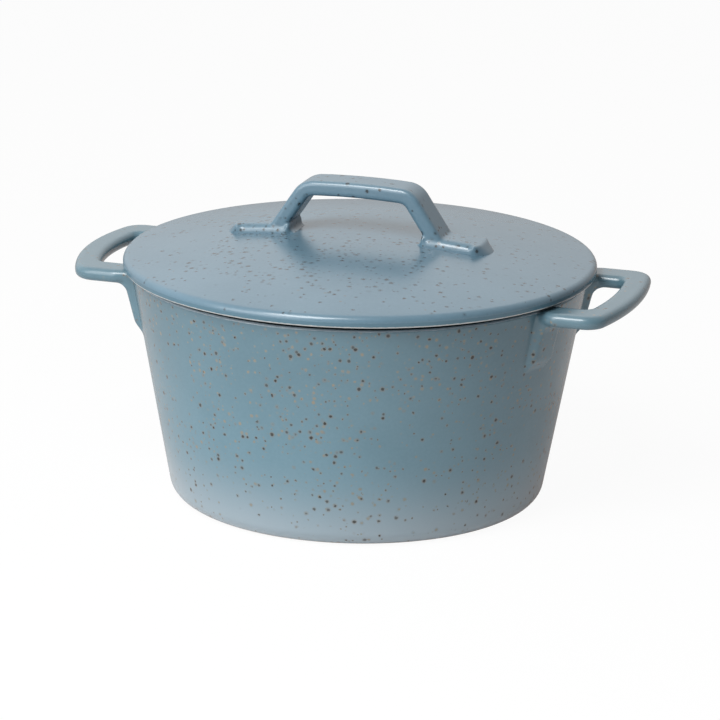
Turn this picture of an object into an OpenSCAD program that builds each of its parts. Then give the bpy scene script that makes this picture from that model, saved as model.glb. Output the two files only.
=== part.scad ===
// Covered casserole dish in glazed stoneware: a tapered pot with two loop handles, and a domed lid with a strap grip.
// Millimetres, +Z up. The origin is the centre of the foot ring, and X runs through the two side handles.

/* [Pot] */
// Height of the rim above the table
dish_h = 119.4; // [95:0.1:150]
// Outer diameter of the wall at the rim
rim_d = 232.4; // [210:0.2:260]
// Outer diameter that the tapered wall would have at table height
base_d = 189.2; // [160:0.2:210]
// Outer radius where the wall turns into the base
base_corner = 9.5; // [6:0.5:14]
// Thickness of the wall, measured square to it
wall = 6.5; // [5.5:0.25:8]
// Thickness of the floor inside the foot ring
floor_t = 7; // [5:0.5:10]
// Inner radius where the wall meets the floor
floor_corner = 16; // [8:1:24]
// Width of the flat ring that the pot stands on
foot_ring_w = 7; // [4:0.5:12]
// Depth of the hollow inside the foot ring
foot_hollow = 2; // [1:0.25:3.5]
// Radius on the outer edge of the rim
rim_round = 2.5; // [1:0.25:3]
// Radius on the inner edge of the rim
rim_round_in = 1.5; // [0.5:0.25:2]

/* [Side handles] */
// Distance from the rim of the pot to the outside of a handle
handle_out = 30.2; // [28:0.2:40]
// Width of the curved bar that the fingers hold
bar_w = 13.6; // [11:0.2:18]
// Thickness of the loop
handle_t = 7; // [5:0.2:8]
// Drop from the rim to the flat top of a handle
handle_drop = 1.8; // [1.2:0.2:8]
// Width of a handle across both legs
handle_w = 100; // [80:1:116]
// Width of each leg
leg_w = 18.2; // [14:0.2:22]
// Radius of the outer corners, seen from above
handle_corner = 12; // [8:0.5:16]
// Radius of the corners of the finger gap
gap_corner = 4; // [2:0.5:8]
// Radius on the edges of the loop
handle_round = 3.2; // [1.5:0.1:3.5]
// Radius under a leg, where it turns down the wall
under_fillet = 5.5; // [3:0.5:8]
// How far a foot stands off the wall under its leg
foot_proud = 4.2; // [3.5:0.1:5]
// How far a foot stands off the wall above its sloped end
foot_proud_low = 3.2; // [2:0.1:3.4]
// Height above the table of the lower end of a foot
foot_end_z = 86; // [70:1:94]
// Height of the sloped end of a foot
foot_slope_h = 6; // [3:0.5:8]

/* [Lid] */
// Overhang of the lid past the rim of the pot
lid_over = 3.8; // [1:0.1:8]
// Height of the lid's edge
lid_edge_h = 5; // [4.8:0.1:8]
// Height of the middle of the lid above the rim
lid_rise = 16.3; // [13:0.1:26]
// Thickness of the dome
lid_t = 6.5; // [5:0.25:8]
// Radius on the upper edge of the lid
lid_round = 3.6; // [2:0.2:3.6]
// Radius on the lower edge of the lid
lid_round_low = 1.2; // [0.5:0.1:2]
// Depth of the locating flange under the lid
flange_depth = 7; // [4:0.5:12]
// Width of the locating flange
flange_w = 5; // [4:0.25:7]
// Play between the flange and the wall of the pot
flange_play = 2; // [1:0.25:3]

/* [Lid grip] */
// Height of the grip's top above the middle of the lid
grip_h = 27.8; // [24:0.2:36]
// Length of the grip across its upper corners
grip_l = 57.4; // [48:0.2:72]
// Width of the grip strap
grip_w = 20; // [16:0.5:24]
// Thickness of the grip strap
grip_t = 7.8; // [7:0.2:10]
// Lean of the legs from level
grip_lean = 56; // [50:1:68]
// Radius of the upper corners
grip_corner = 9.5; // [8:0.5:12]
// Radius of the long crown along the top of the grip
grip_crown = 400; // [250:10:900]
// Radius on the edges of the strap
grip_round = 3.4; // [2:0.1:3.5]
// Radius between a leg and its foot
toe_fillet = 5; // [3:0.5:8]
// Distance from the middle of the lid to the end of a foot's top
toe_reach = 65; // [58:1:84]
// Height of a foot above the dome
toe_h = 3.8; // [3:0.1:5]
// Width of a foot
toe_w = 22; // [18:0.5:27]

/* [Hidden] */
$fn = 128;

glaze = "lightsteelblue";
glaze_dark = "steelblue";

// Pieces that are cut to a neighbour start this far inside it
sink = 0.8;
// Points along a rounded edge, a bend and a straight run
edge_steps = 4;
bend_steps = 7;
run_steps = 4;
profile_steps = 10;
dome_steps = 18;

// Wall of the pot: its taper, and its outer and inner radius at any height
taper = atan((rim_d - base_d) / 2 / dish_h);
function outer_r(z) = base_d / 2 + z * tan(taper);
function inner_r(z) = outer_r(z) - wall / cos(taper);

// Dome of the lid: the sphere through the middle of the lid and its edge
lid_r = rim_d / 2 + lid_over;
dome_drop = lid_rise - lid_edge_h;
dome_r = (lid_r * lid_r + dome_drop * dome_drop) / (2 * dome_drop);
dome_c = [0, lid_rise - dome_r];
function dome_z(x, lift) = dome_c[1] + sqrt(pow(dome_r + lift, 2) - x * x);

// Points on an arc about c, from angle a0 to angle a1
function arc(c, r, a0, a1, steps) = [
    for (i = [0:steps]) let (a = a0 + (a1 - a0) * i / steps) [c[0] + r * cos(a), c[1] + r * sin(a)]
];
function mix(a, b, t) = a + (b - a) * t;
function clamp01(t) = max(0, min(1, t));
function unit(v) = v / norm(v);
function reversed(list) = [for (i = [len(list) - 1:-1:0]) list[i]];

// Outline of the pot from the foot ring to the middle of the rim
base_c = [outer_r(base_corner) - base_corner / cos(taper), base_corner];
rim_c = [outer_r(dish_h - rim_round) - rim_round / cos(taper), dish_h - rim_round];
rim_in_c = [inner_r(dish_h - rim_round_in) + rim_round_in / cos(taper), dish_h - rim_round_in];
outer_line = concat(
    arc(base_c, base_corner, -90, -taper, profile_steps),
    arc(rim_c, rim_round, -taper, 90, profile_steps)
);

// Inside of the pot from the rim to the floor
floor_z = foot_hollow + floor_t;
floor_c = [inner_r(floor_z + floor_corner) - floor_corner / cos(taper), floor_z + floor_corner];
inner_line = concat(
    arc(rim_in_c, rim_round_in, 90, 180 - taper, profile_steps),
    arc(floor_c, floor_corner, -taper, -90, profile_steps)
);

// Hollow under the floor, with a sloped side
foot_in_r = base_c[0] - foot_ring_w;
foot_line = [[0, foot_hollow], [foot_in_r - 1.5 * foot_hollow, foot_hollow], [foot_in_r, 0]];

module dish_body() {
    color(glaze)
        rotate_extrude()
            polygon(concat(foot_line, outer_line, inner_line, [[0, floor_z]]));
}

// The space inside the outer face of the pot, which the handles are cut to
module dish_outside() {
    rotate_extrude()
        polygon(concat([[0, 0]], outer_line, [[0, dish_h]]));
}

// A loft takes a list of stations: [centre, width direction, thickness direction, half width, half thickness, round]
function soft_rect(a, b, r) = [
    for (q = [0:3]) for (i = [0:edge_steps])
        let (t = 90 * (q + i / edge_steps))
            [(q == 0 || q == 3 ? 1 : -1) * (a - r) + r * cos(t), (q < 2 ? 1 : -1) * (b - r) + r * sin(t)]
];
function ring(s) = [for (p = soft_rect(s[3], s[4], min(s[5], s[3], s[4]))) s[0] + p[0] * s[1] + p[1] * s[2]];

module loft(stations) {
    rings = [for (s = stations) ring(s)];
    n = len(rings[0]);
    last = len(rings) - 1;
    sides = [
        for (k = [0:last - 1]) for (i = [0:n - 1])
            let (a = k * n + i, b = k * n + (i + 1) % n)
                each [[a, a + n, b], [b, a + n, b + n]]
    ];
    start = [for (i = [0:n - 1]) i];
    end = [for (i = [n - 1:-1:0]) last * n + i];
    polyhedron([for (r = rings) each r], concat(sides, [start, end]), convexity = 8);
}

// Side handle seen from above: an outer and an inner outline, each an arc about the pot, a corner and a leg
handle_top = dish_h - handle_drop;
handle_low = handle_top - handle_t;
handle_reach = rim_d / 2 + handle_out;
leg_out = handle_w / 2;
leg_in = leg_out - leg_w;
leg_y = (leg_out + leg_in) / 2;
function corner_centre(r, y, c) = [sqrt(pow(r - c, 2) - pow(y - c, 2)), y - c];
function loop_line(r, y, c) =
    let (cc = corner_centre(r, y, c), turn = atan2(cc[1], cc[0]))
        concat(arc([0, 0], r, 0, turn, run_steps), [for (p = arc(cc, c, turn, 90, bend_steps)) p]);
outer_loop = loop_line(handle_reach, leg_out, handle_corner);
inner_loop = loop_line(handle_reach - bar_w, leg_in, gap_corner);

// Side handle seen from the side: the under face of a leg turns down and becomes the outer face of its foot
function wall_x(z) = sqrt(pow(outer_r(z), 2) - leg_y * leg_y);
function foot_angle(z) = asin(leg_y / outer_r(z));
function foot_x(z, proud) = wall_x(z) + proud / cos(foot_angle(z));
foot_hi_z = handle_low - under_fillet;
foot_lo_z = foot_end_z + foot_slope_h;
foot_hi_x = foot_x(foot_hi_z, foot_proud);
foot_lo_x = foot_x(foot_lo_z, foot_proud_low);
foot_lean = atan((foot_hi_x - foot_lo_x) / (foot_hi_z - foot_lo_z));
foot_turn = foot_angle(foot_hi_z);
under_c = [foot_hi_x + under_fillet / cos(foot_lean), foot_hi_z];
under_face = reversed(arc(under_c, under_fillet, 180 - foot_lean, 90, bend_steps));
under_end = under_face[bend_steps];

// The upper face of a leg runs level into the wall, then drops inside it
back_x = wall_x(handle_top) - wall / 2;
function back_point(t) = [
    mix(under_c[0], back_x, clamp01(t / 0.6)),
    mix(handle_top, under_end[1] + sink, clamp01((t - 0.6) / 0.4))
];
function foot_normal(turn) = [cos(foot_lean) * cos(turn), cos(foot_lean) * sin(turn), -sin(foot_lean)];
function foot_station(face, turn) = [
    [face[0], leg_y, face[1]] - handle_t / 2 * foot_normal(turn),
    [-sin(turn), cos(turn), 0],
    -foot_normal(turn),
    leg_w / 2, handle_t / 2, handle_round
];
foot_tip_z = foot_end_z - foot_slope_h * sink / foot_proud_low;
foot_faces = concat(
    [for (i = [1:run_steps]) mix(under_end, [foot_lo_x, foot_lo_z], i / run_steps)],
    [for (i = [1:2]) mix([foot_lo_x, foot_lo_z], [foot_x(foot_tip_z, -sink), foot_tip_z], i / 2)]
);
loop_half = [
    for (i = [0:len(outer_loop) - 1])
        let (o = outer_loop[i], n = inner_loop[i], c = (o + n) / 2, w = unit(o - n))
            [[c[0], c[1], (handle_top + handle_low) / 2], [w[0], w[1], 0], [0, 0, 1],
             norm(o - n) / 2, handle_t / 2, handle_round]
];
bend_half = [
    for (i = [0:bend_steps])
        let (t = i / bend_steps, f = under_face[i], b = back_point(t), turn = foot_turn * t, h = unit(b - f))
            [[(f[0] + b[0]) / 2, leg_y, (f[1] + b[1]) / 2], [-sin(turn), cos(turn), 0], [h[0], 0, h[1]],
             leg_w / 2, norm(b - f) / 2, handle_round]
];
foot_half = [for (f = foot_faces) foot_station(f, foot_turn)];
handle_half = concat(loop_half, bend_half, foot_half);
function mirrored_y(s) = [
    [s[0][0], -s[0][1], s[0][2]], [s[1][0], -s[1][1], s[1][2]], [s[2][0], -s[2][1], s[2][2]], s[3], s[4], s[5]
];
handle_path = concat(
    reversed(handle_half),
    [for (i = [1:len(handle_half) - 1]) mirrored_y(handle_half[i])]
);

module side_handle() {
    color(glaze_dark)
        difference() {
            loft(handle_path);
            dish_outside();
        }
}

module dish_handle_right() {
    side_handle();
}

module dish_handle_left() {
    rotate([0, 0, 180])
        side_handle();
}

// Upper side of the lid, from the middle to its rounded edge
lid_edge_c = [lid_r - lid_round, dome_c[1] + sqrt(pow(dome_r - lid_round, 2) - pow(lid_r - lid_round, 2))];
edge_turn = atan2(lid_edge_c[1] - dome_c[1], lid_edge_c[0]);
lid_top_line = concat(
    arc(dome_c, dome_r, 90, edge_turn, dome_steps),
    [for (i = [1:profile_steps]) arc(lid_edge_c, lid_round, edge_turn, 0, profile_steps)[i]],
    arc([lid_r - lid_round_low, lid_round_low], lid_round_low, 0, -90, profile_steps)
);

// Under side of the lid: a flat seat for the rim, the flange and the hollow of the dome
flange_r = inner_r(dish_h - flange_depth) - flange_play;
flange_in_r = flange_r - flange_w;
flange_round = flange_w / 3;
hollow_r = dome_r - lid_t;
hollow_turn = acos(flange_in_r / hollow_r);
lid_under_line = concat(
    [[flange_r, 0]],
    arc([flange_r - flange_round, flange_round - flange_depth], flange_round, 0, -90, edge_steps),
    arc([flange_in_r + flange_round, flange_round - flange_depth], flange_round, -90, -180, edge_steps),
    arc(dome_c, hollow_r, hollow_turn, 90, dome_steps)
);

module lid_plate() {
    color(glaze)
        translate([0, 0, dish_h])
            rotate_extrude()
                polygon(concat(lid_top_line, lid_under_line));
}

// The space under the dome, which the grip is cut to
module lid_inside() {
    rotate_extrude()
        polygon(concat(lid_top_line, [[0, 0]]));
}

// Grip seen from the front: an upper and a lower line, each a crowned bar, a corner and a leaning leg
grip_top = lid_rise + grip_h;
leg_n = [sin(grip_lean), cos(grip_lean)];
leg_d = [cos(grip_lean), -sin(grip_lean)];
leg_k = leg_n * [grip_l / 2, grip_top];
crown_c = [0, grip_top - grip_crown];
// Point at distance reach from centre c, on the line parallel to the leg at offset k
function on_leg_line(k, c, reach) =
    let (a = k * leg_n - c, ad = a * leg_d)
        k * leg_n + (-ad - sqrt(ad * ad - a * a + reach * reach)) * leg_d;
function grip_line(k, crown, corner) =
    let (cc = on_leg_line(k - corner, crown_c, crown - corner), turn = atan2(cc[1] - crown_c[1], cc[0]))
        concat(arc(crown_c, crown, 90, turn, run_steps), arc(cc, corner, turn, 90 - grip_lean, bend_steps));
grip_upper = grip_line(leg_k, grip_crown, grip_corner);
grip_lower = grip_line(leg_k - grip_t, grip_crown - grip_t, grip_corner - grip_t);

// Foot of the grip: a fillet from the leg, a top that follows the dome and a sloped end
toe_c = on_leg_line(leg_k + toe_fillet, dome_c, dome_r + toe_h + toe_fillet);
toe_turn = 180 + atan2(toe_c[1] - dome_c[1], toe_c[0]);
toe_arc = arc(toe_c, toe_fillet, 270 - grip_lean, toe_turn, bend_steps);
toe_start = toe_arc[bend_steps];
heel_x = toe_arc[0][0] - grip_t / sin(grip_lean);
heel_z = toe_arc[0][1] + toe_h / 2;
heel_low = dome_z(heel_x, -lid_t / 2);
heel_low_z = dome_z(toe_reach, -lid_t / 2);
function heel_point(t) =
    t < 0.5 ? [heel_x, mix(heel_z, heel_low, t / 0.5)] : [mix(heel_x, toe_start[0], (t - 0.5) / 0.5), heel_low];
function grip_station(low, up, w) = [
    [(low[0] + up[0]) / 2, 0, (low[1] + up[1]) / 2], [0, 1, 0],
    let (h = unit(up - low)) [h[0], 0, h[1]], w / 2, norm(up - low) / 2, grip_round
];
grip_bar = [for (i = [0:len(grip_upper) - 1]) grip_station(grip_lower[i], grip_upper[i], grip_w)];
grip_last = len(grip_upper) - 1;
grip_leg = [
    for (i = [1:run_steps - 1])
        let (t = i / run_steps)
            grip_station(mix(grip_lower[grip_last], [heel_x, heel_z], t), mix(grip_upper[grip_last], toe_arc[0], t),
                         grip_w)
];
grip_toe = [
    for (i = [0:bend_steps])
        let (t = i / bend_steps) grip_station(heel_point(t), toe_arc[i], mix(grip_w, toe_w, t))
];
grip_foot = [
    for (i = [1:run_steps])
        let (x = mix(toe_start[0], toe_reach, i / run_steps))
            grip_station([x, heel_low_z], [x, dome_z(x, toe_h)], toe_w)
];
toe_tip = toe_reach + toe_h + sink;
grip_end = [
    for (i = [1:2])
        let (x = mix(toe_reach, toe_tip, i / 2), z = dome_z(x, mix(toe_h, -sink, i / 2)))
            grip_station([x, heel_low_z - sink], [x, z], mix(toe_w, toe_w - 2 * sink, i / 2))
];
grip_half = concat(grip_bar, grip_leg, grip_toe, grip_foot, grip_end);
function mirrored_x(s) = [[-s[0][0], s[0][1], s[0][2]], s[1], [-s[2][0], s[2][1], s[2][2]], s[3], s[4], s[5]];
grip_path = concat(
    [for (i = [len(grip_half) - 1:-1:1]) mirrored_x(grip_half[i])],
    grip_half
);

module lid_handle() {
    color(glaze_dark)
        translate([0, 0, dish_h])
            difference() {
                loft(grip_path);
                lid_inside();
            }
}

dish_body();
dish_handle_left();
dish_handle_right();
lid_plate();
lid_handle();
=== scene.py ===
"""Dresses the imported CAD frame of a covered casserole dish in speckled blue-grey stoneware."""

import logging
import math
from dataclasses import dataclass, field
from enum import Enum
from typing import Any, Callable, Sequence

import bmesh
import bpy
from mathutils import Color, Matrix, Vector


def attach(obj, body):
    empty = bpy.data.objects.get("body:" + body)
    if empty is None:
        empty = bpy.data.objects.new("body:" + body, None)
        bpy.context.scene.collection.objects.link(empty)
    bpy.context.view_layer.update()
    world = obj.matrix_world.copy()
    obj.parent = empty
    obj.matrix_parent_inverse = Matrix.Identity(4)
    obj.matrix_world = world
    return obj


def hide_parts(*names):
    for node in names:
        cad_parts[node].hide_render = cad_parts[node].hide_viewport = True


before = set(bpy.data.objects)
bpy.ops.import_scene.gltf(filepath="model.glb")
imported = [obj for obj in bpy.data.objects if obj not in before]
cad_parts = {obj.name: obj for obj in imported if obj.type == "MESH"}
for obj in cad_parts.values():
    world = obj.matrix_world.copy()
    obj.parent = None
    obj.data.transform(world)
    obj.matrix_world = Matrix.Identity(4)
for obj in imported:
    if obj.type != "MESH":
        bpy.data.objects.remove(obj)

MM = 0.001
TINY = 0.01  # millimetres that count as none
LOG = logging.getLogger("casserole")
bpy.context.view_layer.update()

Point = Sequence[float]


class Plane(Enum):
    """Drawing planes of the bench, each by its two axes."""

    FRONT = ((1, 0, 0), (0, 0, 1))
    TOP = ((1, 0, 0), (0, 1, 0))
    SIDE = ((0, 1, 0), (0, 0, 1))


class Bench:
    """A mesh on the modelling bench, shaped with Blender's own operators. Its sizes are in millimetres."""

    def __init__(self, name: str, plane: Plane = Plane.FRONT) -> None:
        """Clears the bench for a new mesh.

        Args:
            name: Name of the object.
            plane: Plane that outlines are drawn in.
        """
        self.name = name
        self.u, self.v = (Vector(axis) for axis in plane.value)
        self.axis = self.u.cross(self.v)
        self.pen = Vector((0.0, 0.0))
        self.piece: bpy.types.Object | None = None

    @staticmethod
    def clear() -> None:
        """Leaves edit mode and deselects everything."""
        if bpy.context.object and bpy.context.object.mode != "OBJECT":
            bpy.ops.object.mode_set(mode="OBJECT")
        bpy.ops.object.select_all(action="DESELECT")

    def place(self, point: Point) -> Vector:
        """Gives a drawn point, or a step between two, in metres."""
        return (self.u * point[0] + self.v * point[1]) * MM

    def start(self, x: float, y: float) -> "Bench":
        """Puts the pen down as a single vertex.

        Args:
            x: First coordinate in the drawing plane.
            y: Second coordinate in the drawing plane.

        Returns:
            The bench itself.
        """
        self.clear()
        bpy.ops.mesh.primitive_plane_add(size=MM)
        self.piece = bpy.context.object
        self.piece.name = self.piece.data.name = self.name
        bpy.ops.object.mode_set(mode="EDIT")
        bpy.ops.mesh.select_mode(type="VERT")
        bpy.ops.mesh.select_all(action="SELECT")
        bpy.ops.mesh.merge(type="CENTER")
        bpy.ops.transform.translate(value=self.place((x, y)))
        self.pen = Vector((x, y))
        return self

    def line(self, *points: Point) -> "Bench":
        """Draws straight lines from the pen through the points.

        Args:
            points: Points in the drawing plane.

        Returns:
            The bench itself.
        """
        for point in points:
            step = self.place(Vector(point) - self.pen)
            bpy.ops.mesh.extrude_vertices_move(TRANSFORM_OT_translate={"value": step})
            self.pen = Vector(point)
        return self

    def arc(self, centre: Point, sweep: float, steps: int) -> "Bench":
        """Draws an arc from the pen.

        Args:
            centre: Centre of the arc in the drawing plane.
            sweep: Angle in degrees, positive from the first axis to the second.
            steps: Number of edges.

        Returns:
            The bench itself.
        """
        self.spin(sweep, steps, self.place(centre), self.axis)
        arm = self.pen - Vector(centre)
        arm.rotate(Matrix.Rotation(math.radians(sweep), 2))
        self.pen = Vector(centre) + arm
        return self

    @staticmethod
    def spin(sweep: float, steps: int, centre: Point, axis: Point) -> None:
        """Spins what is selected, in degrees. The operator counts its angle the other way round, hence the sign."""
        bpy.ops.mesh.spin(steps=steps, angle=-math.radians(sweep), center=centre, axis=axis, use_auto_merge=False)

    def lathe(self, steps: int) -> "Bench":
        """Spins the outline once round the upright axis and closes it.

        Args:
            steps: Number of sides.

        Returns:
            The bench itself.
        """
        bpy.ops.mesh.select_all(action="SELECT")
        self.spin(360, steps, (0, 0, 0), (0, 0, 1))
        return self.tidy()

    def sector(self, first: float, last: float, steps: int) -> "Bench":
        """Fills the outline and spins it about the upright axis, from one angle to another.

        Args:
            first: Angle in degrees where the solid starts.
            last: Angle in degrees where it ends.
            steps: Number of slices.

        Returns:
            The bench itself.
        """
        self.fill()
        bpy.ops.transform.rotate(value=-math.radians(first), orient_axis="Z", center_override=(0, 0, 0))
        self.spin(last - first, steps, (0, 0, 0), (0, 0, 1))
        return self.tidy()

    def fill(self) -> "Bench":
        """Closes the outline with a face.

        Returns:
            The bench itself.
        """
        bpy.ops.mesh.select_all(action="SELECT")
        bpy.ops.mesh.edge_face_add()
        bpy.ops.mesh.select_all(action="SELECT")
        return self

    def extrude(self, *steps: Point) -> "Bench":
        """Extrudes what is selected by moves in millimetres, one after another."""
        for step in steps:
            bpy.ops.mesh.extrude_region_move(TRANSFORM_OT_translate={"value": Vector(step) * MM})
        return self

    def tidy(self) -> "Bench":
        """Merges doubles and turns the faces outwards.

        Returns:
            The bench itself.
        """
        bpy.ops.mesh.select_all(action="SELECT")
        bpy.ops.mesh.remove_doubles(threshold=0.002 * MM)
        bpy.ops.mesh.normals_make_consistent(inside=False)
        return self

    def pick(self, kind: str, test: Callable[[list[Vector]], bool]) -> "Bench":
        """Selects vertices, edges or faces by their place.

        Args:
            kind: VERT, EDGE or FACE.
            test: Takes the corner points in millimetres and says whether to select.

        Returns:
            The bench itself.
        """
        bpy.ops.mesh.select_mode(type=kind)
        bpy.ops.mesh.select_all(action="DESELECT")
        mesh = bmesh.from_edit_mesh(self.piece.data)
        parts = {"VERT": mesh.verts, "EDGE": mesh.edges, "FACE": mesh.faces}[kind]
        for part in parts:
            corners = [part.co] if kind == "VERT" else [v.co for v in part.verts]
            part.select_set(test([c / MM for c in corners]))
        mesh.select_flush_mode()
        bmesh.update_edit_mesh(self.piece.data)
        return self

    def bevel(self, width: float, segments: int, corners: bool = False) -> "Bench":
        """Rounds the selected edges, or corners, to a width."""
        bpy.ops.mesh.bevel(offset=width * MM, segments=segments, profile=0.5, clamp_overlap=False,
                           affect="VERTICES" if corners else "EDGES", loop_slide=True)
        return self

    def bisect(self, point: Point, outwards: Point) -> "Bench":
        """Cuts off all that lies beyond a plane and closes the cut.

        Args:
            point: Point on the plane.
            outwards: Direction of what is cut off.

        Returns:
            The bench itself.
        """
        bpy.ops.mesh.select_all(action="SELECT")
        normal = Vector(outwards).normalized()
        bpy.ops.mesh.bisect(plane_co=Vector(point) * MM, plane_no=normal, use_fill=True, clear_outer=True)
        return self

    def modifier(self, kind: str, **settings: Any) -> "Bench":
        """Adds a modifier and applies it.

        Args:
            kind: Type of the modifier.
            settings: Its settings.

        Returns:
            The bench itself.
        """
        self.clear()
        bpy.context.view_layer.objects.active = self.piece
        self.piece.select_set(True)
        added = self.piece.modifiers.new(kind.title(), kind)
        for name, value in settings.items():
            setattr(added, name, value)
        bpy.ops.object.modifier_apply(modifier=added.name)
        return self

    def near(self, other: bpy.types.Object, reach: float, falloff: str) -> str:
        """Weighs the points by how near they lie to another piece, from 1 on it to 0 at the reach.

        Args:
            other: Piece that the distance is taken to.
            reach: Distance where the weight ends.
            falloff: Curve of the weight.

        Returns:
            Name of the vertex group.
        """
        name = "near"
        if name not in self.piece.vertex_groups:
            group = self.piece.vertex_groups.new(name=name)
            group.add(range(len(self.piece.data.vertices)), 1.0, "REPLACE")
        self.modifier("VERTEX_WEIGHT_PROXIMITY", vertex_group=name, target=other, proximity_mode="GEOMETRY",
                      proximity_geometry={"FACE"}, min_dist=reach * MM, max_dist=0.0, falloff_type=falloff)
        return name

    def lute(self, other: bpy.types.Object, fillet: float, rubs: int, feather: float) -> "Bench":
        """Rubs the joint with another piece into a soft fillet that runs out flush on it.

        Args:
            other: Piece that this one is stuck to.
            fillet: Height of the fillet.
            rubs: Number of times that the clay is rubbed.
            feather: Height below which the fillet is pressed down on the other piece.

        Returns:
            The bench itself.
        """
        sink, shaded = 0.006, feather / 8
        self.modifier("SMOOTH", factor=0.5, iterations=rubs, vertex_group=self.near(other, fillet, "SMOOTH"))
        self.modifier("SHRINKWRAP", target=other, wrap_method="NEAREST_SURFACEPOINT", wrap_mode="ABOVE_SURFACE",
                      offset=-sink * MM, vertex_group=self.near(other, feather, "SHARP"))
        self.modifier("DATA_TRANSFER", object=other, use_loop_data=True, data_types_loops={"CUSTOM_NORMAL"},
                      loop_mapping="POLYINTERP_NEAREST", vertex_group=self.near(other, shaded, "SMOOTH"))
        self.piece.vertex_groups.clear()
        return self

    def join(self, *others: "Bench") -> "Bench":
        """Joins other benches' meshes to this one.

        Args:
            others: Benches whose meshes are taken over.

        Returns:
            The bench itself.
        """
        self.clear()
        for bench in (*others, self):
            bench.piece.select_set(True)
        bpy.context.view_layer.objects.active = self.piece
        bpy.ops.object.join()
        return self

    def smooth(self, angle: float = 35.0) -> bpy.types.Object:
        """Shades the piece smooth up to an angle and hands it over.

        Args:
            angle: Sharpest edge in degrees that still shades smooth.

        Returns:
            The finished object.
        """
        self.clear()
        bpy.context.view_layer.objects.active = self.piece
        self.piece.select_set(True)
        bpy.ops.object.shade_smooth_by_angle(angle=math.radians(angle))
        return self.piece


def polar(centre: Point, radius: float, angle: float) -> Vector:
    """Gives the point at an angle in degrees on a circle."""
    turn = math.radians(angle)
    return Vector((centre[0] + radius * math.cos(turn), centre[1] + radius * math.sin(turn)))


def heading(azimuth: float, elevation: float) -> Vector:
    """Gives the direction at an angle in degrees to the right of the front and at one above the floor."""
    turn, rise = math.radians(azimuth), math.radians(elevation)
    return Vector((math.sin(turn) * math.cos(rise), -math.cos(turn) * math.cos(rise), math.sin(rise)))


def level(ends: list[Vector]) -> bool:
    """Tells whether the two ends of an edge lie at the same depth."""
    return abs(ends[0].y - ends[1].y) < TINY


@dataclass(frozen=True)
class PotSizes:
    """Sizes of the pot, as in the CAD, with finer rounds at the rim and at the foot."""

    height: float = 119.4
    rim_r: float = 116.2
    base_r: float = 94.6
    base_corner: float = 9.5
    wall: float = 6.5
    floor: float = 7.0
    floor_corner: float = 16.0
    foot_ring: float = 7.0
    foot_hollow: float = 2.0
    ring_ease: float = 0.6
    ring_lift: float = 0.35
    ring_round: float = 0.5
    rim_round: float = 1.3
    rim_round_in: float = 1.5
    rebate: float = 2.7
    groove: float = 1.4
    groove_ease: float = 0.8
    seat_r: float = 112.4
    seat_ease: float = 0.5

    @property
    def taper(self) -> float:
        """Lean of the wall in degrees."""
        return math.degrees(math.atan((self.rim_r - self.base_r) / self.height))

    @property
    def lean(self) -> float:
        """Cosine of the wall's lean."""
        return math.cos(math.radians(self.taper))

    def outer(self, z: float, proud: float = 0.0) -> float:
        """Gives the radius of the wall's outside at a height, or of a face that stands proud of it."""
        return self.base_r + (self.rim_r - self.base_r) * z / self.height + proud / self.lean

    def inner(self, z: float) -> float:
        """Gives the radius of the inside of the wall at a height."""
        return self.outer(z, -self.wall)


@dataclass
class Pot:
    """The pot: foot ring, tapered wall, rebated rim and floor."""

    sizes: PotSizes = field(default_factory=PotSizes)
    sides: int = 256

    def build(self) -> bpy.types.Object:
        """Draws the half section and spins it.

        Returns:
            The pot.
        """
        s = self.sizes
        taper = s.taper
        base = (s.outer(s.base_corner, -s.base_corner), s.base_corner)
        rim_z = s.height - s.rebate - s.rim_round
        rim = (s.outer(rim_z, -s.rim_round), rim_z)
        lip_z = s.height - s.rim_round_in
        lip = (s.inner(lip_z) + s.rim_round_in / s.lean, lip_z)
        floor_z = s.foot_hollow + s.floor
        hollow_z = floor_z + s.floor_corner
        hollow = (s.inner(hollow_z) - s.floor_corner / s.lean, hollow_z)
        ring_in = base[0] - s.foot_ring
        bench = Bench("pot").start(0, s.foot_hollow).line((ring_in - 2 * s.foot_hollow, s.foot_hollow))
        bench.line((ring_in - s.ring_ease, s.ring_lift), (ring_in + s.ring_round, 0), (base[0], 0))
        bench.arc(base, 90 - taper, 14).line(polar(rim, s.rim_round, -taper)).arc(rim, 90 + taper, 10)
        groove = s.height - s.rebate - s.groove
        bench.line((s.seat_r + s.groove_ease, groove), (s.seat_r, groove + s.seat_ease))
        bench.line((s.seat_r, s.height - s.seat_ease), (s.seat_r - s.seat_ease, s.height), (lip[0], s.height))
        bench.arc(lip, 90 - taper, 6).line(polar(hollow, s.floor_corner, -taper))
        bench.arc(hollow, taper - 90, 14).line((0, floor_z)).lathe(self.sides)
        return bench.smooth()


@dataclass(frozen=True)
class LidSizes:
    """Sizes of the lid, as in the CAD, with a thin lip at its edge."""

    radius: float = 120.0
    edge: float = 5.0
    rise: float = 16.3
    thick: float = 6.5
    edge_round: float = 3.3
    low_round: float = 1.2
    lip: float = 0.5
    lip_r: float = 113.9
    flange: float = 7.0
    flange_w: float = 5.0
    flange_play: float = 2.0
    flange_ease: float = 0.8

    @property
    def dome(self) -> float:
        """Radius of the dome's sphere."""
        drop = self.rise - self.edge
        return (self.radius ** 2 + drop ** 2) / (2 * drop)

    def top(self, x: float, lift: float = 0.0) -> float:
        """Gives the height above the pot's rim of the dome, or of a sphere that stands off it."""
        return self.rise - self.dome + math.sqrt((self.dome + lift) ** 2 - x * x)


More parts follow.
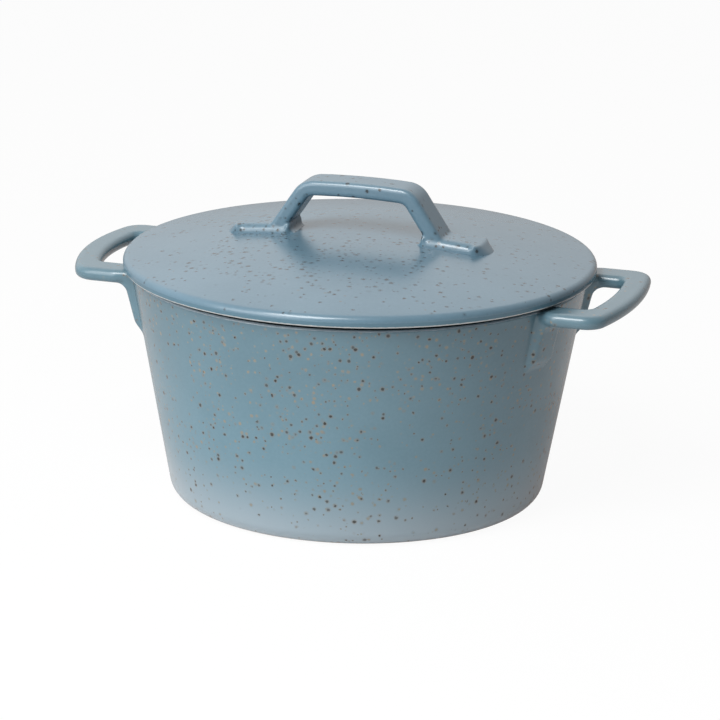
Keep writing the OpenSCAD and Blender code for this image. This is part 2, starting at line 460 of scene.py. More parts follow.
@dataclass
class Lid:
    """The lid: dome, rounded edge with a thin lip, seat and locating flange."""

    pot: PotSizes
    sizes: LidSizes = field(default_factory=LidSizes)
    sides: int = 256

    def build(self) -> bpy.types.Object:
        """Draws the half section and spins it.

        Returns:
            The lid.
        """
        s, z = self.sizes, self.pot.height
        centre = (0, z + s.rise - s.dome)
        edge_x = s.radius - s.edge_round
        edge = (edge_x, z + s.top(edge_x, -s.edge_round))
        turn = math.degrees(math.atan2(edge[1] - centre[1], edge_x))
        low = (s.radius - s.low_round, z - s.lip + s.low_round)
        flange_r = self.pot.inner(z - s.flange) - s.flange_play
        inside_r = flange_r - s.flange_w
        soft = s.flange_w / 3
        foot_z = z - s.flange + soft
        under = s.dome - s.thick
        under_turn = math.degrees(math.acos(inside_r / under))
        bench = Bench("lid").start(0, z + s.rise).arc(centre, turn - 90, 44).arc(edge, -turn, 12)
        bench.line((s.radius, low[1])).arc(low, -90, 6).line((s.lip_r, z - s.lip), (s.lip_r - s.lip, z))
        bench.line((flange_r + s.flange_ease, z), (flange_r, z - s.flange_ease), (flange_r, foot_z))
        bench.arc((flange_r - soft, foot_z), -90, 5).line((inside_r + soft, z - s.flange))
        bench.arc((inside_r + soft, foot_z), -90, 5).line(polar(centre, under, under_turn))
        bench.arc(centre, 90 - under_turn, 30).lathe(self.sides)
        return bench.smooth()


@dataclass(frozen=True)
class SideHandleSizes:
    """Sizes of a side handle, as in the CAD, with the bow that each one got by hand."""

    reach: float = 145.4
    bow: float = 190.0
    middle: float = 4.5
    bar: float = 13.6
    thick: float = 7.0
    drop: float = 2.3
    half_width: float = 50.0
    leg: float = 18.2
    corner: float = 11.5
    gap_corner: float = 4.0
    edge_round: float = 3.3
    under_round: float = 5.5
    proud: float = 4.2
    proud_low: float = 3.2
    foot_in: float = 29.2
    foot_out: float = 46.8
    foot_round: float = 3.2
    foot_end: float = 83.4
    foot_slope: float = 7.0
    flare_out: Point = (106.0, 110.5, 115.0)
    flare_ease: float = 1.2
    flare_in: Point = (111.0, 116.0)


@dataclass
class SideHandle:
    """A flat loop whose legs turn down the wall as strap feet, with soft clay fillets all round."""

    pot: PotSizes
    sizes: SideHandleSizes = field(default_factory=SideHandleSizes)
    root: float = 2.6
    skin: float = 0.05
    clear: float = 0.2
    spare: float = 2.0
    apron: float = 9.0
    foot_arc: tuple[float, float] = (10.0, 33.0)
    seat_arc: tuple[float, float] = (8.0, 34.0)
    grain: float = 0.55
    rubs: int = 14
    fillet: float = 6.5
    fillet_rubs: int = 60
    feather: float = 3.4

    def loop(self) -> Bench:
        """Draws the loop from above, out along one leg and back along the other, and gives it its thickness.

        Returns:
            The loop.
        """
        s = self.sizes
        top = self.pot.height - s.drop
        root = self.pot.outer(top - s.thick / 2, -self.root)
        leg_in, half = s.half_width - s.leg, s.half_width
        outer, inner = s.flare_out, s.flare_in
        bow = Vector((s.reach - s.bow, s.middle))
        corners, turns = [], []
        for radius, y in ((s.bow - s.corner, half - s.corner), (s.bow - s.bar - s.gap_corner, leg_in - s.gap_corner)):
            for side in (-y, y):
                corners.append(Vector((bow.x + math.sqrt(radius ** 2 - (side - bow.y) ** 2), side)))
                turns.append(math.degrees(math.atan2(side - bow.y, corners[-1].x - bow.x)))
        ends = [math.sqrt(root ** 2 - y ** 2) for y in (s.foot_out, s.foot_in)]
        bench = Bench("side_handle", Plane.TOP).start(ends[0], -s.foot_out)
        bench.line((outer[0], -s.foot_out), (outer[1], s.flare_ease - half), (outer[2], -half), (corners[0].x, -half))
        bench.arc(corners[0], turns[0] + 90, 14).arc(bow, turns[1] - turns[0], 40).arc(corners[1], 90 - turns[1], 14)
        bench.line((outer[2], half), (outer[1], half - s.flare_ease), (outer[0], s.foot_out))
        bench.line((ends[0], s.foot_out), (ends[1], s.foot_in))
        bench.line((inner[0], s.foot_in), (inner[1], leg_in), (corners[3].x, leg_in))
        bench.arc(corners[3], turns[3] - 90, 10).arc(bow, turns[2] - turns[3], 32).arc(corners[2], -90 - turns[2], 10)
        bench.line((inner[1], -leg_in), (inner[0], -s.foot_in), (ends[1], -s.foot_in)).fill()
        bpy.ops.transform.translate(value=(0, 0, top * MM))
        bench.extrude((0, 0, -s.thick)).tidy()
        bench.pick("EDGE", lambda c: abs(c[0].z - c[1].z) < TINY and max(p.xy.length for p in c) > root + self.clear)
        return bench.bevel(s.edge_round, 6)

    def foot(self) -> Bench:
        """Spins the section of a strap foot, trims and rounds its sides and cuts its end off at a slant.

        Returns:
            The foot under the leg.
        """
        s, pot = self.sizes, self.pot
        low = pot.height - s.drop - s.thick
        high_z = low - s.under_round
        end_z = s.foot_end + s.foot_slope
        high = Vector((pot.outer(high_z, s.proud), high_z))
        slope = Vector((pot.outer(end_z, s.proud_low), end_z))
        lean = math.degrees(math.atan2(high.x - slope.x, high.y - slope.y))
        round_at = Vector((high.x + s.under_round / math.cos(math.radians(lean)), high_z))
        inside = low + s.thick / 2
        tip = s.foot_end - self.spare
        bench = Bench("foot").start(pot.outer(inside, -self.root), inside)
        bench.line((round_at.x, inside), (round_at.x, low)).arc(round_at, 90 - lean, 10)
        bench.line(slope, (pot.outer(tip, s.proud_low), tip), (pot.outer(tip, -self.root), tip))
        bench.sector(*self.foot_arc, 46)
        flare = Vector((s.half_width - s.leg - s.foot_in, s.flare_in[0] - s.flare_in[1], 0)).normalized()
        sides = [(Vector((0, s.foot_in, 0)), Vector((0, -1, 0))), (Vector((0, s.foot_out, 0)), Vector((0, 1, 0))),
                 (Vector((s.flare_in[0], s.foot_in, 0)), flare)]
        for point, outwards in sides:
            bench.bisect(point, outwards)
        bench.tidy()
        bench.pick("EDGE", lambda c: sum(all(abs((p - q).dot(n)) < TINY for p in c) for q, n in sides) == 1
                   and all(p.xy.length > pot.outer(p.z, 2 * self.clear) and p.z < low + TINY for p in c))
        bench.bevel(s.foot_round, 5)
        end = pot.outer(s.foot_end)
        turn = math.asin((s.foot_in + s.foot_out) / 2 / end)
        out = Vector((math.cos(turn), math.sin(turn), 0))
        slant = out * s.foot_slope - Vector((0, 0, slope.x - end))
        return bench.bisect(out * end + Vector((0, 0, s.foot_end)), slant).tidy()

    def seat(self) -> Bench:
        """Spins the thin patch of clay just under the glaze of the wall, which the fillets grow from.

        Returns:
            The patch.
        """
        pot = self.pot
        high, low = pot.height - pot.rebate - pot.rim_round - self.clear, self.sizes.foot_end - self.apron
        bench = Bench("seat").start(pot.outer(low, -self.skin), low).line((pot.outer(high, -self.skin), high))
        bench.line((pot.outer(high, -self.root), high), (pot.outer(low, -self.root), low))
        return bench.sector(*self.seat_arc, 60)

    def build(self, name: str, turned: float, wall: bpy.types.Object) -> bpy.types.Object:
        """Joins the pieces of clay, rubs the joints soft and turns the handle to its side.

        Args:
            name: Name of the handle.
            turned: Angle in degrees about the pot.
            wall: The pot that the handle is stuck to.

        Returns:
            The handle.
        """
        feet = self.foot().join(self.seat())
        feet.modifier("MIRROR", use_axis=(False, True, False), merge_threshold=TINY * MM)
        bench = self.loop().join(feet)
        bench.modifier("REMESH", mode="VOXEL", voxel_size=self.grain * MM, use_smooth_shade=True)
        bench.modifier("SMOOTH", factor=0.5, iterations=self.rubs)
        bench.lute(wall, self.fillet, self.fillet_rubs, self.feather)
        bpy.ops.object.mode_set(mode="EDIT")
        bpy.ops.mesh.select_all(action="SELECT")
        bpy.ops.transform.rotate(value=-math.radians(turned), orient_axis="Z", center_override=(0, 0, 0))
        bpy.ops.object.mode_set(mode="OBJECT")
        bench.piece.name = bench.piece.data.name = name
        return bench.piece


@dataclass(frozen=True)
class GripSizes:
    """Sizes of the lid's grip, as in the CAD, with softer bends and feet."""

    height: float = 27.8
    length: float = 57.4
    width: float = 20.0
    thick: float = 7.8
    lean: float = 56.0
    corner: float = 12.5
    crown: float = 400.0
    edge_round: float = 2.2
    leg_end: float = 47.0
    sink: float = 0.5
    heel: float = 34.6
    heel_h: float = 4.2
    heel_top: float = 5.0
    heel_base: float = 9.0
    heel_side: float = 0.4
    heel_round: float = 2.0
    flare: float = 2.8
    toe_reach: float = 65.0
    toe_h: float = 4.5
    toe_w: float = 22.4
    toe_round: float = 4.2
    toe_corner: float = 9.0
    toe_dip: float = 0.8
    toe_back: float = 1.8


@dataclass
class LidGrip:
    """A strap bridge on the lid, with two long feet that follow the dome."""

    pot: PotSizes
    lid: LidSizes
    sizes: GripSizes = field(default_factory=GripSizes)
    root: float = 4.0
    grain: float = 0.5
    rubs: int = 26

    def strap(self) -> Bench:
        """Bends half of the strap: a crowned bar, a corner and a leaning leg.

        Returns:
            The half strap.
        """
        s = self.sizes
        lift = self.pot.height
        top = self.lid.rise + s.height
        lean = math.radians(s.lean)
        across = Vector((math.sin(lean), math.cos(lean)))
        along = Vector((math.cos(lean), -math.sin(lean)))
        centre = Vector((0, top - s.crown))
        line = across * (across.dot(Vector((s.length / 2, top))) - s.corner)
        back = (line - centre).dot(along)
        reach = (s.crown - s.corner) ** 2 - (line - centre).length_squared
        corner = line - (back + math.sqrt(back * back + reach)) * along
        turn = math.degrees(math.atan2(corner.y - centre.y, corner.x))
        end = corner.y + s.corner * math.cos(lean) - self.lid.top(s.leg_end) + s.sink
        half = s.width / 2
        bench = Bench("lid_grip", Plane.SIDE).start(-half, lift + top - s.thick)
        bench.line((half, lift + top - s.thick), (half, lift + top), (-half, lift + top)).fill()
        bench.pick("VERT", lambda c: True).bevel(s.edge_round, 6, corners=True)
        bpy.ops.mesh.select_all(action="SELECT")
        round_y = (0, -1, 0)
        bench.spin(turn - 90, 14, Vector((0, 0, lift + centre.y)) * MM, round_y)
        bench.spin(90 - s.lean - turn, 16, Vector((corner.x, 0, lift + corner.y)) * MM, round_y)
        step = along * (end / math.sin(lean))
        bench.extrude((step.x, 0, step.y)).tidy()
        bench.pick("FACE", lambda c: all(p.x < TINY for p in c))
        bpy.ops.mesh.delete(type="ONLY_FACE")
        return bench

    def heel(self) -> Bench:
        """Shapes the wedge of clay that brings the inside of a leg down square to the dome.

        Returns:
            The wedge.
        """
        s, lid, z = self.sizes, self.lid, self.pot.height
        low, width = z + lid.top(s.heel, -self.root), s.width - s.heel_side
        inside, ground = s.heel - s.flare, low + self.root
        high = ground + s.heel_h
        bench = Bench("heel").start(inside, low).line((inside, ground)).arc((inside, ground + s.flare), 90, 8)
        bench.line((s.heel, high), (s.heel + s.heel_top, high), (s.heel + s.heel_base, low)).fill()
        bpy.ops.transform.translate(value=(0, -width / 2 * MM, 0))
        bench.extrude((0, width, 0)).tidy()
        bench.pick("EDGE", lambda c: level(c) and all(abs(p.x - s.heel) < TINY for p in c))
        return bench.bevel(s.heel_round, 4)

    def toe(self) -> Bench:
        """Shapes a foot: a long pad that follows the dome and slopes down at its round end.

        Returns:
            The foot.
        """
        s, lid, z = self.sizes, self.lid, self.pot.height
        radius = lid.dome + s.toe_h
        centre = (0, z + lid.rise - lid.dome)
        first, last = (math.degrees(math.asin(x / radius)) for x in (s.heel, s.toe_reach))
        tip, slack = s.toe_reach + s.toe_h + s.toe_dip, 0.1
        bench = Bench("toe").start(s.heel, z + lid.top(s.heel, -self.root))
        bench.line((s.heel, z + lid.top(s.heel, s.toe_h))).arc(centre, first - last, 12)
        bench.line((tip, z + lid.top(tip, -s.toe_dip)), (tip, z + lid.top(tip, -self.root))).fill()
        bpy.ops.transform.translate(value=(0, -s.toe_w / 2 * MM, 0))
        bench.extrude((0, s.toe_w, 0)).tidy()
        bench.pick("EDGE", lambda c: level(c) and all(p.x > s.toe_reach - TINY for p in c)).bevel(s.toe_corner, 6)
        bench.pick("EDGE", lambda c: level(c) and all(abs(p.x - s.heel) < TINY for p in c)).bevel(s.toe_back, 4)
        bench.pick("EDGE", lambda c: level(c) and abs(c[0].x - c[1].x) > TINY
                   and all(p.z > z + lid.top(p.x, s.toe_h - slack) for p in c))
        return bench.bevel(s.toe_round, 5)

    def build(self) -> bpy.types.Object:
        """Joins the pieces of clay and rubs the joints soft.

        Returns:
            The grip, with its feet let into the dome.
        """
        bench = self.strap()
        bench.join(self.heel(), self.toe())
        bench.modifier("MIRROR", use_axis=(True, False, False), merge_threshold=TINY * MM)
        bench.modifier("REMESH", mode="VOXEL", voxel_size=self.grain * MM, use_smooth_shade=True)
        bench.modifier("SMOOTH", factor=0.5, iterations=self.rubs)
        return bench.piece


class Wire:
    """A value in a shader that Python's operators work on."""

    def __init__(self, desk: "Desk", socket: bpy.types.NodeSocket) -> None:
        """Wraps the output of a node on the desk."""
        self.desk, self.socket = desk, socket

    def __add__(self, other: "Wire | float") -> "Wire":
        """Adds."""
        return self.desk.math("ADD", self, other)

    def __radd__(self, other: float) -> "Wire":
        """Adds to a number."""
        return self.desk.math("ADD", other, self)

    def __sub__(self, other: "Wire | float") -> "Wire":
        """Subtracts."""
        return self.desk.math("SUBTRACT", self, other)

    def __rsub__(self, other: float) -> "Wire":
        """Subtracts from a number."""
        return self.desk.math("SUBTRACT", other, self)

    def __mul__(self, other: "Wire | float") -> "Wire":
        """Multiplies."""
        return self.desk.math("MULTIPLY", self, other)

    def __gt__(self, other: "Wire | float") -> "Wire":
        """Gives 1 where it is greater."""
        return self.desk.math("GREATER_THAN", self, other)

    def most(self, other: "Wire | float") -> "Wire":
        """Gives the greater of the two."""
        return self.desk.math("MAXIMUM", self, other)

    def step(self, start: "Wire | float", end: "Wire | float") -> "Wire":
        """Rises softly from 0 at the start to 1 at the end."""
        node = self.desk.add("ShaderNodeMapRange", {"interpolation_type": "SMOOTHSTEP"},
                             {"Value": self, "From Min": start, "From Max": end})
        return Wire(self.desk, node.outputs["Result"])


@dataclass(frozen=True)
class Paint:
    """A colour as a screen shows it, from 0 to 255."""

    red: float
    green: float
    blue: float

    def rgba(self) -> tuple[float, ...]:
        """Gives the colour as the shaders take it."""
        return (*Color((self.red / 255, self.green / 255, self.blue / 255)).from_srgb_to_scene_linear(), 1.0)


class Desk:
    """A node tree on which a shader is laid out."""

    def __init__(self, owner: bpy.types.ID) -> None:
        """Clears the nodes of a material or a world.

        Args:
            owner: The material or world.
        """
        owner.use_nodes = True
        self.tree = owner.node_tree
        self.tree.nodes.clear()

    def add(self, kind: str, settings: dict[str, Any], sockets: dict[str | int, Any]) -> bpy.types.Node:
        """Adds a node.

        Args:
            kind: Type of the node.
            settings: Settings of the node, which are set first.
            sockets: Values or links of its inputs.

        Returns:
            The node.
        """
        node = self.tree.nodes.new(kind)
        for name, value in settings.items():
            setattr(node, name, value)
        for name, value in sockets.items():
            value = value.socket if isinstance(value, Wire) else value
            value = value.rgba() if isinstance(value, Paint) else value
            if isinstance(value, bpy.types.NodeSocket):
                self.tree.links.new(value, node.inputs[name])
            else:
                node.inputs[name].default_value = value
        return node

    def math(self, operation: str, first: Wire | float, second: Wire | float) -> Wire:
        """Adds a Math node and gives its result."""
        return Wire(self, self.add("ShaderNodeMath", {"operation": operation}, {0: first, 1: second}).outputs[0])

    def vector(self, operation: str, sockets: dict[str | int, Any]) -> bpy.types.NodeSocket:
        """Adds a Vector Math node and gives its vector."""
        return self.add("ShaderNodeVectorMath", {"operation": operation}, sockets).outputs["Vector"]

    def dot(self, first: bpy.types.NodeSocket, second: Point) -> Wire:
        """Gives how far one vector reaches along another."""
        node = self.add("ShaderNodeVectorMath", {"operation": "DOT_PRODUCT"}, {0: first, 1: second})
        return Wire(self, node.outputs["Value"])

    def rays(self) -> tuple[Wire, Wire]:
        """Tells the rays apart.

        Returns:
            1 for rays of the camera, also through glass, and 1 for rays of a reflection.
        """
        path = self.add("ShaderNodeLightPath", {}, {})
        names = ("Is Camera Ray", "Is Transmission Ray", "Is Glossy Ray")
        camera, through, glossy = (Wire(self, path.outputs[name]) for name in names)
        return camera.most(through), glossy

    def blend(self, share: Wire | float, first: Any, second: Any) -> bpy.types.NodeSocket:
        """Mixes two colours, by the share of the second one."""
        return self.add("ShaderNodeMix", {"data_type": "RGBA"}, {0: share, 6: first, 7: second}).outputs[2]

    def noise(self, place: bpy.types.NodeSocket, size: float, detail: float) -> Wire:
        """Adds a noise about 0.5, with clouds of a size in millimetres."""
        node = self.add("ShaderNodeTexNoise", {}, {"Vector": place, "Scale": 1 / size, "Detail": detail})
        return Wire(self, node.outputs["Fac"])


@dataclass(frozen=True)
class Specks:
    """One kind of iron speck in the glaze, with its sizes in millimetres."""

    spacing: float
    radius: float
    share: float
    strength: float
    core: Paint
    halo: Paint
    shift: float
    skew: Point = (1.0, 0.37, -0.61)
    smallest: float = 0.35
    faintest: float = 0.6
    core_edge: float = 0.55
    halo_edge: Point = (1.7, 0.8)
    halo_share: float = 0.5

    def strew(self, desk: Desk, place: bpy.types.NodeSocket, crowd: Wire) -> tuple[Wire, Wire]:
        """Strews the specks.

        Args:
            desk: Desk of the shader.
            place: Place in millimetres.
            crowd: How dense the specks lie, about 1.

        Returns:
            The masks of the dark cores and of the rusty rings.
        """
        place = desk.vector("ADD", {0: place, 1: tuple(self.shift * part for part in self.skew)})
        cells = desk.add("ShaderNodeTexVoronoi", {"feature": "F1"}, {"Vector": place, "Scale": 1 / self.spacing})
        chance = desk.add("ShaderNodeSeparateColor", {}, {"Color": cells.outputs["Color"]})
        pick, size, force = (Wire(desk, chance.outputs[name]) for name in ("Red", "Green", "Blue"))
        away = Wire(desk, cells.outputs["Distance"]) * self.spacing
        radius = (size * (1 - self.smallest) + self.smallest) * self.radius
        there = (crowd * self.share > pick) * (force * (1 - self.faintest) + self.faintest) * self.strength
        rusty = away.step(radius * self.halo_edge[0], radius * self.halo_edge[1])
        return there * away.step(radius, radius * self.core_edge), there * rusty


@dataclass(frozen=True)
class Band:
    """A ring of the piece where the glaze is thin or wiped off, or where shade is painted, by its heights and its
    radii.
    """

    low: float
    high: float
    inner: float
    outer: float
    paint: Paint
    bare: float
    soft: float = 0.2

    def mask(self, height: Wire, out: Wire) -> Wire:
        """Marks the ring.

        Args:
            height: Height in millimetres.
            out: Distance from the axis in millimetres.

        Returns:
            1 on the ring.
        """
        rising = height.step(self.low - self.soft, self.low + self.soft)
        ring = rising * height.step(self.high + self.soft, self.high - self.soft)
        return ring * (out > self.inner) * (1 - (out > self.outer))


@dataclass(frozen=True)
class Crowding:
    """Where specks lie dense. Each pair gives where an effect starts and where it is full."""

    cloud: float = 34.0
    clusters: Point = (0.25, 0.7)
    spread: float = 1.3
    least: float = 0.35
    low_loss: float = 0.6
    handle_r: float = 121.0
    handle_loss: float = 0.8
    pads: tuple[Point, Point, Point] = ((33, 40), (66, 58), (17, 12))
    front: tuple[Point, Point, Point] = ((25, -15), (-105, -55), (95, 35))
    front_share: float = 0.45
    below_strap: Point = (144, 139)
    loss: float = 0.33
    gather: float = 0.0

    def density(self, desk: Desk, place: bpy.types.NodeSocket, at: Sequence[Wire], low: Wire) -> Wire:
        """Tells how dense the specks lie.

        Args:
            desk: Desk of the shader.
            place: Place in millimetres.
            at: Its three coordinates and its distance from the axis.
            low: 1 low on the outer wall, where paler colour is painted as bounce light from the floor.

        Returns:
            The density, about 1.
        """
        x, y, z, out = at
        clouds = desk.noise(place, self.cloud, 1).step(*self.clusters)
        crowd = (clouds * self.spread + self.least) * (1 - low * self.low_loss)
        crowd = crowd * (1 - (out > self.handle_r) * self.handle_loss)
        side, depth = desk.math("ABSOLUTE", x, 0), desk.math("ABSOLUTE", y, 0)
        pads = side.step(*self.pads[0]) * side.step(*self.pads[1]) * depth.step(*self.pads[2])
        front = y.step(*self.front[0]) * y.step(*self.front[1]) * side.step(*self.front[2])
        gain = (pads + front * self.front_share) * z.step(*self.below_strap) - self.loss
        return crowd * (1 + gain * self.gather)


@dataclass(frozen=True)
class SpeckledGlaze:
    """Satin blue-grey stoneware glaze with iron specks that bleed a little rust."""

    name: str
    deep: Paint
    pale: Paint
    # Pale grey of thin glaze, also painted low on the wall as bounce light from the floor.
    thin: Paint
    kinds: tuple[Specks, ...]
    bands: tuple[Band, ...]
    crowding: Crowding = Crowding()
    cloud: float = 42.0
    grain: float = 1.6
    mottle: Point = (0.3, 0.7)
    cloudy: float = 0.7
    peel: float = 7.0
    # Painted bounce light: the outer wall turns paler towards the foot, from this height down, with a ragged top and
    # only on the wall's outside.
    foot: float = 60.0
    drift: float = 10.0
    wall: Point = (0.18, 90.0, 92.0)
    painted_bounce: float = 0.8
    # Heights over which painted shade darkens the dish towards its rim, under the lid's overhang, and how strongly.
    shaded: Point = (30.0, 120.0)
    painted_upper_shade: float = 0.0
    stray: float = 0.9
    gloss_roughness: float = 0.26
    roughness: float = 0.34
    uneven: float = 0.12
    pitting: float = 0.12
    dry: float = 0.45
    fray: float = 0.5
    grit: float = 0.03
    dry_grit: float = 0.2

    def material(self) -> bpy.types.Material:
        """Lays out the shader.

        Returns:
            The material.
        """
        material = bpy.data.materials.new(self.name)
        desk = Desk(material)
        middle = desk.add("ShaderNodeTexCoord", {}, {}).outputs["Object"]
        place = desk.vector("SCALE", {0: middle, "Scale": 1 / MM})
        axes = desk.add("ShaderNodeSeparateXYZ", {}, {0: place})
        x, y, z = (Wire(desk, axes.outputs[name]) for name in "XYZ")
        out = desk.math("POWER", x * x + y * y, 0.5)
        clouds, grains = desk.noise(place, self.cloud, 3), desk.noise(place, self.grain, 2)
        mottle = clouds.step(*self.mottle) * self.cloudy + grains.step(*self.mottle) * (1 - self.cloudy)
        colour = desk.blend(mottle, self.deep, self.pale)
        slope, inside, outside = self.wall
        low = (z + (clouds - 0.5) * self.drift).step(self.foot, 0) * (out - z * slope).step(inside, outside)
        # Painted shade: the dish darkens towards its rim, where the lid's overhang shades it.
        colour = desk.blend(z.step(*self.shaded) * self.painted_upper_shade, colour, SHADE)
        # Painted bounce light: paler low on the outer wall, standing in for light thrown up by the floor.
        colour = desk.blend(low * low * self.painted_bounce, colour, self.thin)
        wobble = desk.add("ShaderNodeTexNoise", {}, {"Vector": place, "Scale": 0.9, "Detail": 2.0}).outputs["Color"]
        strayed = desk.vector("MULTIPLY_ADD", {0: wobble, 1: (self.stray,) * 3, 2: place})
        crowd = self.crowding.density(desk, place, (x, y, z, out), low)
        pits: Wire | float = 0.0
        for kind in self.kinds:
            core, ring = kind.strew(desk, strayed, crowd)
            colour = desk.blend(ring * kind.halo_share, colour, kind.halo)
            colour = desk.blend(core, colour, kind.core)
            pits = core + pits
        bare: Wire | float = 0.0
        ragged = z + (grains - 0.5) * self.fray
        for band in self.bands:
            ring = band.mask(ragged, out)
            colour = desk.blend(ring, colour, band.paint)
            bare = ring * band.bare + bare
        waves = desk.noise(place, self.peel, 1)
        patches = (desk.noise(place, 18, 2) - 0.5) * self.uneven
        rough = patches + pits * self.pitting + bare * self.dry + self.roughness
        height = waves + grains * self.grit - pits * self.pitting + bare * grains * self.dry_grit
        bump = desk.add("ShaderNodeBump", {}, {"Strength": 0.2, "Distance": 0.25 * MM, "Height": height})
        shader = desk.add("ShaderNodeBsdfPrincipled", {}, {
            "Base Color": colour, "Roughness": rough, "IOR": 1.5, "Specular IOR Level": 0.0, "Coat Weight": 1 - bare,
            "Coat Roughness": self.gloss_roughness, "Coat IOR": 1.6, "Normal": bump.outputs["Normal"]})
        desk.add("ShaderNodeOutputMaterial", {}, {"Surface": shader.outputs["BSDF"]})
        return material


@dataclass(frozen=True)
class PhotoCamera:
    """The long lens that looks down on the lid from the front right, with the frame rolled a little."""

    target: float = 119.4
    distance: float = 1981.0
    azimuth: float = 17.6
    elevation: float = 14.69
    roll: float = 0.919
    dip: float = 1.403
    lens: float = 195.25

    def build(self) -> bpy.types.Object:
        """Places the camera and makes it the scene's own.

        Returns:
            The camera.
        """
        turn, back = math.radians(self.azimuth), heading(self.azimuth, self.elevation)
        right = Vector((math.cos(turn), math.sin(turn), 0))
        aim = Matrix((right, back.cross(right), back)).transposed().to_4x4()
        for angle, axis in ((self.roll, "Z"), (-self.dip, "X")):
            aim = aim @ Matrix.Rotation(math.radians(angle), 4, axis)
        Bench.clear()
        bpy.ops.object.camera_add()
        camera = bpy.context.object
        camera.name = "photo_camera"
        camera.matrix_world = Matrix.Translation((Vector((0, 0, self.target)) + back * self.distance) * MM) @ aim
        camera.data.lens = self.lens
        camera.data.sensor_width = 36
        camera.data.clip_end = 100
        bpy.context.scene.camera = camera
        return camera


@dataclass(frozen=True)
class Softbox:
    """A soft lamp that is aimed at the dish. Its brightness is that of its face, where 1 is white."""

    name: str
    azimuth: float
    elevation: float
    distance: float
    width: float
    height: float
    brightness: float
    target: float = 0.1

    def build(self) -> bpy.types.Object:
        """Hangs the lamp.

        Returns:
            The lamp.
        """
        back = heading(self.azimuth, self.elevation)
        Bench.clear()
        bpy.ops.object.light_add(type="AREA", location=back * self.distance + Vector((0, 0, self.target)))
        lamp = bpy.context.object
        lamp.name = lamp.data.name = self.name
        lamp.rotation_euler = back.to_track_quat("Z", "Y").to_euler()
        lamp.data.shape = "RECTANGLE"
        lamp.data.size, lamp.data.size_y = self.width, self.height
        lamp.data.energy = self.brightness * math.pi * self.width * self.height
        lamp.visible_camera = False
        return lamp


@dataclass(frozen=True)
class Studio:
    """A white floor that runs on to a white backdrop, with soft light from above and from the left.

    The glow is what reflections see of the floor, and the shine what they see of the backdrop.
    """

    right: Point = (0.953, 0.302, 0.0)
    ambient: float = 0.3
    ambient_lean: float = 0.7
    ambient_far: float = 0.35
    span: float = 24.0
    white: float = 0.9
    seen: float = 0.95
    mirrored: float = 0.45
    glow: Paint = Paint(255, 236, 226)
    glow_strength: float = 0.75
    shine: float = 0.41
    shine_lean: float = 0.12
    sky: Point = (0.07, 0.6)
    sky_shine: float = 0.35
    sky_far: float = 0.45
    lamps: tuple[Softbox, ...] = (
        Softbox("left_panel", -32, 22, 1.5, 1.1, 0.9, 3.2),
        Softbox("key_softbox", -14, 49, 1.4, 0.62, 0.62, 12.6),
    )

    def floor(self) -> bpy.types.Object:
        """Lays the floor, which glows just enough to look white and still takes the shadow.

        Returns:
            The floor.
        """
        Bench.clear()
        bpy.ops.mesh.primitive_plane_add(size=self.span)
        floor = bpy.context.object
        floor.name = floor.data.name = "floor"
        material = bpy.data.materials.new("white_floor")
        desk = Desk(material)
        camera, glossy = desk.rays()
        matt = desk.add("ShaderNodeBsdfDiffuse", {}, {"Color": (self.white, self.white, self.white, 1)})
        colour = desk.blend(camera, self.glow, Paint(255, 255, 255))
        glow = desk.add("ShaderNodeEmission", {}, {"Color": colour, "Strength": camera.most(self.glow_strength)})
        share = camera * self.seen + glossy * self.mirrored
        both = desk.add("ShaderNodeMixShader", {}, {0: share, 1: matt.outputs[0], 2: glow.outputs[0]})
        desk.add("ShaderNodeOutputMaterial", {}, {"Surface": both.outputs[0]})
        floor.data.materials.append(material)
        return floor

    def world(self) -> None:
        """Sets the white backdrop and the plain light from all round, which is stronger on the left."""
        world = bpy.data.worlds.new("studio")
        bpy.context.scene.world = world
        desk = Desk(world)
        camera, glossy = desk.rays()
        way = desk.add("ShaderNodeTexCoord", {}, {}).outputs["Generated"]
        right, far = desk.dot(way, self.right), desk.dot(way, (-self.right[1], self.right[0], 0.0))
        height = Wire(desk, desk.add("ShaderNodeSeparateXYZ", {}, {0: way}).outputs["Z"])
        sky = height.step(*self.sky) * (self.sky_shine + far * self.sky_far)
        shine = self.shine + sky - right * self.shine_lean
        plain = (1 - right * self.ambient_lean + far * self.ambient_far) * self.ambient + glossy * shine.most(0)
        strength = camera + (1 - camera) * plain
        back = desk.add("ShaderNodeBackground", {}, {"Color": (1, 1, 1, 1), "Strength": strength})
        desk.add("ShaderNodeOutputWorld", {}, {"Surface": back.outputs[0]})

    def build(self) -> None:
        """Sets up floor, world, lamps and view."""
        self.floor()
        self.world()
        for lamp in self.lamps:
            lamp.build()
        bpy.context.scene.view_settings.view_transform = "Standard"


IRON = Paint(30, 29, 27)
RUST = Paint(122, 108, 90)
TAN = Paint(134, 122, 102)
CLAY = Paint(190, 186, 178)
LIP = Paint(184, 187, 186)
# Painted shade: near black for the groove under the lid and for the dish's darker upper wall.
SHADE = Paint(40, 45, 48)
# Painted shade: darker blue for the lid's upright edge below its highlight, standing in for the dim reflection there.
PAINTED_EDGE_SHADE = Paint(72, 106, 122)

DISH_SPECKS = (
    Specks(3.3, 1.1, 0.38, 0.8, TAN, Paint(112, 124, 124), 31.0),
    Specks(2.7, 0.7, 0.38, 0.85, Paint(72, 70, 66), TAN, 67.0),
    Specks(4.0, 1.15, 0.52, 1.0, IRON, RUST, 0.0),
)
LID_SPECKS = (
    Specks(3.4, 1.0, 0.1, 0.75, Paint(96, 98, 94), Paint(96, 116, 126), 83.0),
    Specks(2.8, 0.9, 0.22, 0.95, Paint(28, 38, 44), Paint(74, 97, 109), 45.0),
    Specks(3.6, 1.45, 0.46, 1.0, Paint(14, 19, 22), Paint(68, 90, 101), 12.0),
)


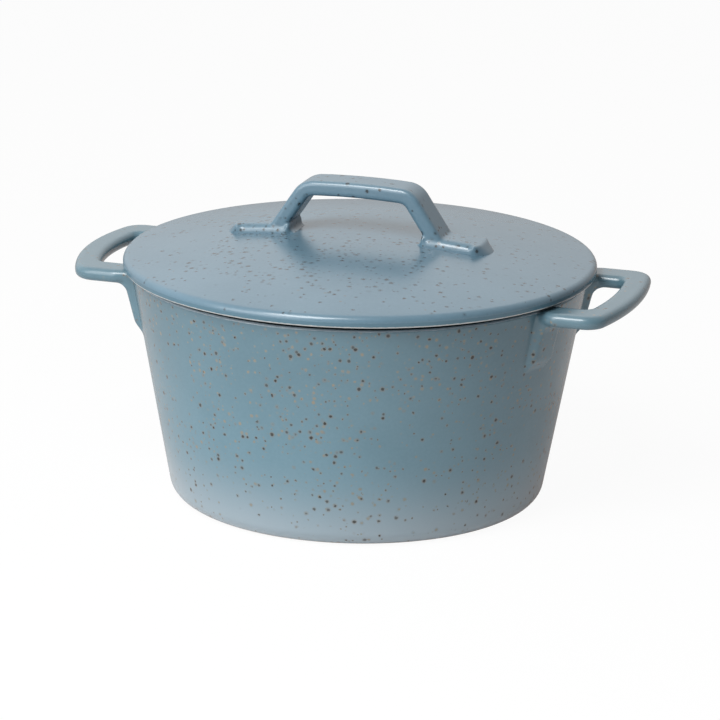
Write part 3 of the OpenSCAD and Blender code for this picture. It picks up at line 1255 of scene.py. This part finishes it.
def glazes(rim: float) -> dict[str, SpeckledGlaze]:
    """Mixes the glazes of dish and lid.

    Args:
        rim: Height of the pot's rim.

    Returns:
        The glazes by slot.
    """
    # Pale grey of the thin glaze at the rim, also painted low on the dish's wall as bounce light from the floor.
    thin = Paint(152, 164, 172)
    dish = (
        Band(-1, 1.3, 0, 120, CLAY, 1.0),
        Band(rim - 3.5, rim - 2.5, 114.2, 116.2, thin, 0.0),
        # Painted shade in the rim's groove, so that the gap under the lid reads black; the groove is also left
        # rougher.
        Band(rim - 5, rim - 0.6, 111.5, 114.2, SHADE, 0.6),
        Band(rim - 0.6, rim + 1, 108, 112.6, CLAY, 1.0),
    )
    lid = (
        # Painted shade on the lid's upright edge, between its lip and its highlight.
        Band(rim + 0.3, rim + 2.2, 118.5, 121, PAINTED_EDGE_SHADE, 0.0),
        Band(rim - 0.9, rim + 0.3, 118.2, 121, LIP, 0.5),
    )
    return {
        "glaze": SpeckledGlaze(
            "dish_glaze", Paint(92, 125, 139), Paint(99, 132, 146), thin, DISH_SPECKS, dish, painted_upper_shade=0.22),
        "lid_glaze": SpeckledGlaze(
            "lid_glaze", Paint(86, 115, 131), Paint(93, 122, 138), thin, LID_SPECKS, lid, Crowding(gather=1.8)),
    }


def main() -> None:
    """Builds the pieces, glazes them and sets them in the studio."""
    logging.basicConfig(level=logging.INFO, format="%(name)s: %(message)s")
    PhotoCamera().build()
    Studio().build()
    pot = Pot()
    lid = Lid(pot.sizes)
    right = SideHandle(pot.sizes)
    left = SideHandle(pot.sizes, SideHandleSizes(reach=148.9, bow=120.0, middle=-7.0, corner=12.0, half_width=48.8))
    pot_piece, lid_piece = pot.build(), lid.build()
    made = [
        (pot_piece, "dish", "dish_body", "glaze"),
        (right.build("side_handle_right", 0, pot_piece), "dish", "dish_handle_right", "glaze"),
        (left.build("side_handle_left", 180, pot_piece), "dish", "dish_handle_left", "glaze"),
        (lid_piece, "lid", "lid_plate", "lid_glaze"),
        (LidGrip(pot.sizes, lid.sizes).build(), "lid", "lid_handle", "lid_glaze"),
    ]
    materials = {slot: glaze.material() for slot, glaze in glazes(pot.sizes.height).items()}
    for piece, body, node, slot in made:
        piece.data.materials.clear()
        piece.data.materials.append(materials[slot])
        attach(piece, body)
        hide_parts(node)
        LOG.info("%s rides on %s for %s, %d faces", piece.name, body, node, len(piece.data.polygons))


if __name__ == "__main__":
    main()
